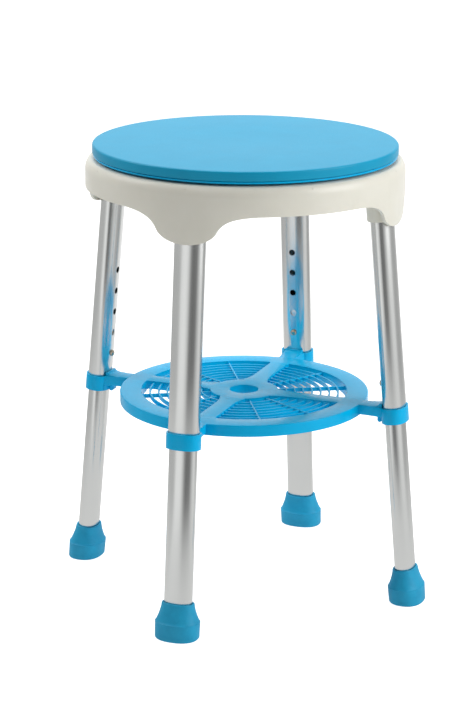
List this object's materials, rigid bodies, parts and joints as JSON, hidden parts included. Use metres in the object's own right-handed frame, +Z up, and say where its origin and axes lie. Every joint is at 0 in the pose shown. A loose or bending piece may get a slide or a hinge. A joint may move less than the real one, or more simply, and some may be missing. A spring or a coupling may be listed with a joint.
{
  "type": "shower stool",
  "caption": "Round swivel shower stool with a foam seat, splayed telescopic oval legs on rubber feet and a slotted round storage tray.",
  "frame": {"origin": "on the floor, on the vertical axis that the seat turns about", "axes": "+Z up; the legs stand on the diagonals between the X and Y axes; the front is -Y"},
  "size_m": [0.36, 0.36, 0.52],
  "materials": {
    "foam_pad": "satin closed-cell foam",
    "blue_plastic": "satin",
    "ivory_plastic": "satin",
    "aluminium_tube": "satin",
    "blue_rubber": "matte",
    "steel": "polished",
    "spring_steel": "satin",
    "acetal": "satin"
  },
  "bodies": {
    "root": {"seat_frame": "ivory_plastic", "glide_ring": "acetal", "pivot_bush": "acetal", "tray": "blue_plastic", "upper_tube_1": "aluminium_tube", "upper_tube_2": "aluminium_tube", "upper_tube_3": "aluminium_tube", "upper_tube_4": "aluminium_tube", "clamp_collar_1": "blue_plastic", "clamp_collar_2": "blue_plastic", "clamp_collar_3": "blue_plastic", "clamp_collar_4": "blue_plastic", "leg_screw_1": "steel", "leg_screw_2": "steel", "leg_screw_3": "steel", "leg_screw_4": "steel"},
    "seat": {"seat_cushion": "foam_pad", "seat_board": "blue_plastic", "pivot_bolt": "steel", "pivot_washer": "steel", "pivot_nut": "steel"},
    "leg_1": {"lower_tube_1": "aluminium_tube", "foot_1": "blue_rubber", "foot_insert_1": "steel", "snap_spring_1": "spring_steel"},
    "button_1": {"snap_button_1": "steel"},
    "leg_2": {"lower_tube_2": "aluminium_tube", "foot_2": "blue_rubber", "foot_insert_2": "steel", "snap_spring_2": "spring_steel"},
    "button_2": {"snap_button_2": "steel"},
    "leg_3": {"lower_tube_3": "aluminium_tube", "foot_3": "blue_rubber", "foot_insert_3": "steel", "snap_spring_3": "spring_steel"},
    "button_3": {"snap_button_3": "steel"},
    "leg_4": {"lower_tube_4": "aluminium_tube", "foot_4": "blue_rubber", "foot_insert_4": "steel", "snap_spring_4": "spring_steel"},
    "button_4": {"snap_button_4": "steel"}
  },
  "joints": [
    {"name": "seat_swivel", "type": "hinge", "parent": "root", "child": "seat", "pos_m": [0, 0, 0.503], "axis": [0, 0, 1], "continuous": true},
    {"name": "leg_slide_1", "type": "slide", "parent": "root", "child": "leg_1", "axis": [-0.0631, -0.0631, 0.996], "range_m": [0, 0.1016], "deforming": ["snap_button_1"]},
    {"name": "button_press_1", "type": "slide", "parent": "leg_1", "child": "button_1", "axis": [0.7043, 0.7043, 0.0893], "range_m": [0, 0.0055], "stiffness_N_per_m": 1500, "springref_m": -0.003, "deforming": ["snap_spring_1"]},
    {"name": "leg_slide_2", "type": "slide", "parent": "root", "child": "leg_2", "axis": [0.0631, -0.0631, 0.996], "range_m": [0, 0.1016], "deforming": ["snap_button_2"]},
    {"name": "button_press_2", "type": "slide", "parent": "leg_2", "child": "button_2", "axis": [-0.7043, 0.7043, 0.0893], "range_m": [0, 0.0055], "stiffness_N_per_m": 1500, "springref_m": -0.003, "deforming": ["snap_spring_2"]},
    {"name": "leg_slide_3", "type": "slide", "parent": "root", "child": "leg_3", "axis": [0.0631, 0.0631, 0.996], "range_m": [0, 0.1016], "deforming": ["snap_button_3"]},
    {"name": "button_press_3", "type": "slide", "parent": "leg_3", "child": "button_3", "axis": [-0.7043, -0.7043, 0.0893], "range_m": [0, 0.0055], "stiffness_N_per_m": 1500, "springref_m": -0.003, "deforming": ["snap_spring_3"]},
    {"name": "leg_slide_4", "type": "slide", "parent": "root", "child": "leg_4", "axis": [-0.0631, 0.0631, 0.996], "range_m": [0, 0.1016], "deforming": ["snap_button_4"]},
    {"name": "button_press_4", "type": "slide", "parent": "leg_4", "child": "button_4", "axis": [0.7043, -0.7043, 0.0893], "range_m": [0, 0.0055], "stiffness_N_per_m": 1500, "springref_m": -0.003, "deforming": ["snap_spring_4"]}
  ]
}
